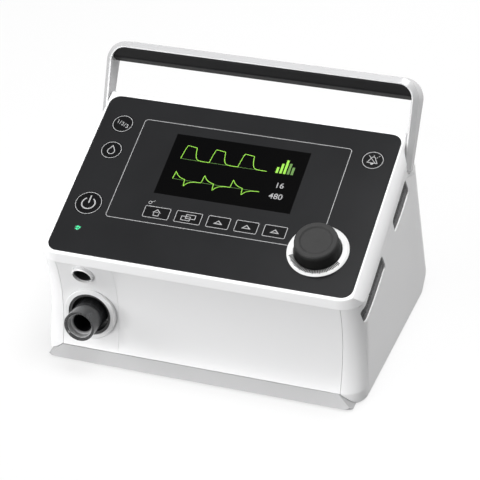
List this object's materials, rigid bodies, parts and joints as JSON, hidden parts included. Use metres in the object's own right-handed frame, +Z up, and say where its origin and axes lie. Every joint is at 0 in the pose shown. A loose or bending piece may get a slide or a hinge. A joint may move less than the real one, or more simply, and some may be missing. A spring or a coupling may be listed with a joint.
{
  "type": "home ventilator",
  "caption": "Portable home ventilator: white housing, sloped black key panel with screen and push dial, 22 mm hose outlet, folding carry handle, internal blower.",
  "frame": {"origin": "on the floor plane under the middle of the housing's width, 75 mm behind the low edge of the panel glass", "axes": "+X to the right of someone facing the panel, +Y to the back, +Z up; the panel's low edge faces -Y"},
  "size_m": [0.24, 0.1881, 0.173],
  "materials": {
    "housing_white": "satin",
    "handle_white": "satin",
    "ring_white": "satin",
    "panel_black": "gloss",
    "key_black": "gloss",
    "screen_black": "gloss",
    "dial_black": "matte",
    "grip_black": "matte",
    "vent_black": "matte",
    "inner_black": "matte",
    "inner_grey": "matte",
    "smoke_grey": "gloss",
    "liner_grey": "satin",
    "light_green": "gloss",
    "board_green": "satin",
    "steel": "brushed",
    "case_metal": "satin",
    "battery_grey": "matte",
    "rubber_black": "matte",
    "filter_white": "matte"
  },
  "bodies": {
    "housing": {"base_tray": "housing_white", "side_shell_right": "housing_white", "side_shell_left": "housing_white", "front_plate": "housing_white", "port_plate": "housing_white", "panel_frame": "housing_white", "rear_cover": "housing_white", "panel_glass": "panel_black", "key_carrier": "inner_grey", "display_module": "screen_black", "main_board": "board_green", "mains_light": "light_green", "dial_ring": "ring_white", "encoder_body": "inner_black", "outlet_collar": "housing_white", "outlet_cup": "inner_black", "outlet_cone": "smoke_grey", "outlet_liner": "liner_grey", "sensor_port": "housing_white", "sensor_core": "inner_black", "handle_washers": "inner_black", "blower_housing": "inner_grey", "blower_motor": "steel", "blower_mounts": "rubber_black", "air_hose": "rubber_black", "inlet_silencer": "inner_grey", "intake_filter": "filter_white", "filter_door": "housing_white", "mains_inlet": "inner_black", "power_supply": "case_metal", "battery_pack": "battery_grey", "alarm_speaker": "inner_black", "rubber_feet": "rubber_black", "housing_screws": "steel", "vent_front_right": "vent_black", "vent_front_left": "vent_black", "vent_rear_right": "vent_black", "vent_rear_left": "vent_black"},
    "handle": {"handle_bail": "handle_white", "handle_grip": "grip_black", "handle_stubs": "steel"},
    "dial_push": {"dial_sleeve": "inner_black"},
    "dial": {"dial_knob": "dial_black", "dial_shaft": "steel"},
    "impeller": {"blower_impeller": "inner_black"},
    "key_menu": {"key_menu": "key_black"},
    "key_humidifier": {"key_humidifier": "key_black"},
    "key_power": {"key_power": "key_black"},
    "key_alarm_mute": {"key_alarm_mute": "key_black"},
    "soft_key_1": {"soft_key_1": "key_black"},
    "soft_key_2": {"soft_key_2": "key_black"},
    "soft_key_3": {"soft_key_3": "key_black"},
    "soft_key_4": {"soft_key_4": "key_black"},
    "soft_key_5": {"soft_key_5": "key_black"}
  },
  "joints": [
    {"name": "handle_swing", "type": "hinge", "parent": "housing", "child": "handle", "pos_m": [0, 0.0521, 0.1215], "axis": [-1, 0, 0], "range_deg": [0, 63]},
    {"name": "dial_press", "type": "slide", "parent": "housing", "child": "dial_push", "axis": [0, 0.3616, -0.9323], "range_m": [0, 0.0008], "stiffness_N_per_m": 2500, "springref_m": -0.0004},
    {"name": "dial_turn", "type": "hinge", "parent": "dial_push", "child": "dial", "pos_m": [0.0764, -0.04367, 0.09915], "axis": [0, -0.3616, 0.9323], "continuous": true},
    {"name": "impeller_spin", "type": "hinge", "parent": "housing", "child": "impeller", "pos_m": [-0.047, 0.022, 0.03], "axis": [0, 0, 1], "continuous": true},
    {"name": "key_menu_press", "type": "slide", "parent": "housing", "child": "key_menu", "axis": [0, 0.3616, -0.9323], "range_m": [0, 0.0005], "stiffness_N_per_m": 3000, "springref_m": -0.0003},
    {"name": "key_humidifier_press", "type": "slide", "parent": "housing", "child": "key_humidifier", "axis": [0, 0.3616, -0.9323], "range_m": [0, 0.0005], "stiffness_N_per_m": 3000, "springref_m": -0.0003},
    {"name": "key_power_press", "type": "slide", "parent": "housing", "child": "key_power", "axis": [0, 0.3616, -0.9323], "range_m": [0, 0.0005], "stiffness_N_per_m": 3000, "springref_m": -0.0003},
    {"name": "key_alarm_mute_press", "type": "slide", "parent": "housing", "child": "key_alarm_mute", "axis": [0, 0.3616, -0.9323], "range_m": [0, 0.0005], "stiffness_N_per_m": 3000, "springref_m": -0.0003},
    {"name": "soft_key_1_press", "type": "slide", "parent": "housing", "child": "soft_key_1", "axis": [0, 0.3616, -0.9323], "range_m": [0, 0.0005], "stiffness_N_per_m": 3000, "springref_m": -0.0003},
    {"name": "soft_key_2_press", "type": "slide", "parent": "housing", "child": "soft_key_2", "axis": [0, 0.3616, -0.9323], "range_m": [0, 0.0005], "stiffness_N_per_m": 3000, "springref_m": -0.0003},
    {"name": "soft_key_3_press", "type": "slide", "parent": "housing", "child": "soft_key_3", "axis": [0, 0.3616, -0.9323], "range_m": [0, 0.0005], "stiffness_N_per_m": 3000, "springref_m": -0.0003},
    {"name": "soft_key_4_press", "type": "slide", "parent": "housing", "child": "soft_key_4", "axis": [0, 0.3616, -0.9323], "range_m": [0, 0.0005], "stiffness_N_per_m": 3000, "springref_m": -0.0003},
    {"name": "soft_key_5_press", "type": "slide", "parent": "housing", "child": "soft_key_5", "axis": [0, 0.3616, -0.9323], "range_m": [0, 0.0005], "stiffness_N_per_m": 3000, "springref_m": -0.0003}
  ]
}
